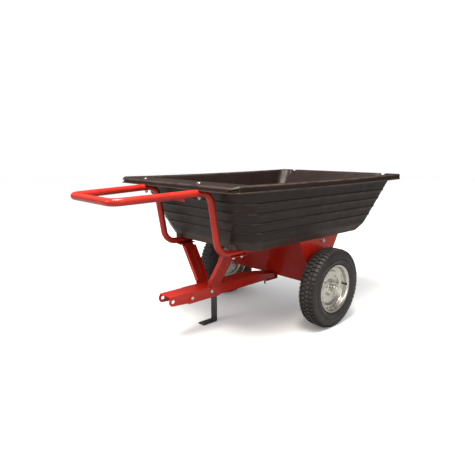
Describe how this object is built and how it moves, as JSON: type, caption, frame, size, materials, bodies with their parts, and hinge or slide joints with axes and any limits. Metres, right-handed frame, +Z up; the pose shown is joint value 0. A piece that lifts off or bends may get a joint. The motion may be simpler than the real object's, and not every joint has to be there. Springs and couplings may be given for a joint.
{
  "type": "garden cart",
  "caption": "Garden cart with a moulded tub on bent frame tubes, a push handle, a tow tongue, two pneumatic wheels and a folding prop stand.",
  "frame": {"origin": "on the ground under the middle of the cart's outline, midway between the handle bar and the tub's rear rim", "axes": "+Z up; the handle and the tongue point along -X and the tub's dump end along +X; the wheels turn about Y; left is -Y"},
  "size_m": [1.4961, 0.78, 0.684],
  "materials": {
    "poly_black": "moulded, lightly pebbled",
    "paint_red": "gloss powder coat",
    "zinc": "zinc plated",
    "black_steel": "satin black",
    "tyre": "moulded rubber"
  },
  "bodies": {
    "cart": {"tub": "poly_black", "rim_spacers": "black_steel", "rim_bolts": "zinc", "rim_nuts": "zinc", "floor_bolts": "zinc", "floor_nuts": "zinc", "floor_washers": "zinc", "handle": "paint_red", "frame_tube_left": "paint_red", "frame_tube_right": "paint_red", "strut_left": "paint_red", "strut_right": "paint_red", "tongue": "paint_red", "tongue_bolts": "zinc", "tongue_nuts": "zinc", "cradle_plate": "paint_red", "cradle_side_left": "paint_red", "cradle_side_right": "paint_red", "cradle_bolts": "zinc", "cradle_nuts": "zinc", "cradle_washers": "zinc", "cross_rod": "zinc", "cross_rod_nuts": "zinc", "axle": "zinc", "axle_spacers": "zinc", "axle_washers": "zinc", "axle_caps": "zinc", "clamp_bolt": "black_steel", "clamp_nut": "black_steel", "stand_bolt": "zinc", "stand_nut": "zinc"},
    "wheel_left": {"tyre_left": "tyre", "disc_outer_left": "zinc", "disc_inner_left": "zinc", "hub_left": "zinc", "disc_bolts_left": "zinc", "valve_left": "black_steel"},
    "wheel_right": {"tyre_right": "tyre", "disc_outer_right": "zinc", "disc_inner_right": "zinc", "hub_right": "zinc", "disc_bolts_right": "zinc", "valve_right": "black_steel"},
    "stand": {"stand": "black_steel"}
  },
  "joints": [
    {"name": "wheel_left_spin", "type": "hinge", "parent": "cart", "child": "wheel_left", "pos_m": [0.221, -0.344, 0.1825], "axis": [0, 1, 0], "continuous": true},
    {"name": "wheel_right_spin", "type": "hinge", "parent": "cart", "child": "wheel_right", "pos_m": [0.221, 0.344, 0.1825], "axis": [0, 1, 0], "continuous": true},
    {"name": "stand_fold", "type": "hinge", "parent": "cart", "child": "stand", "pos_m": [-0.129, 0.0605, 0.186], "axis": [0, -1, 0], "range_deg": [0, 90]}
  ]
}
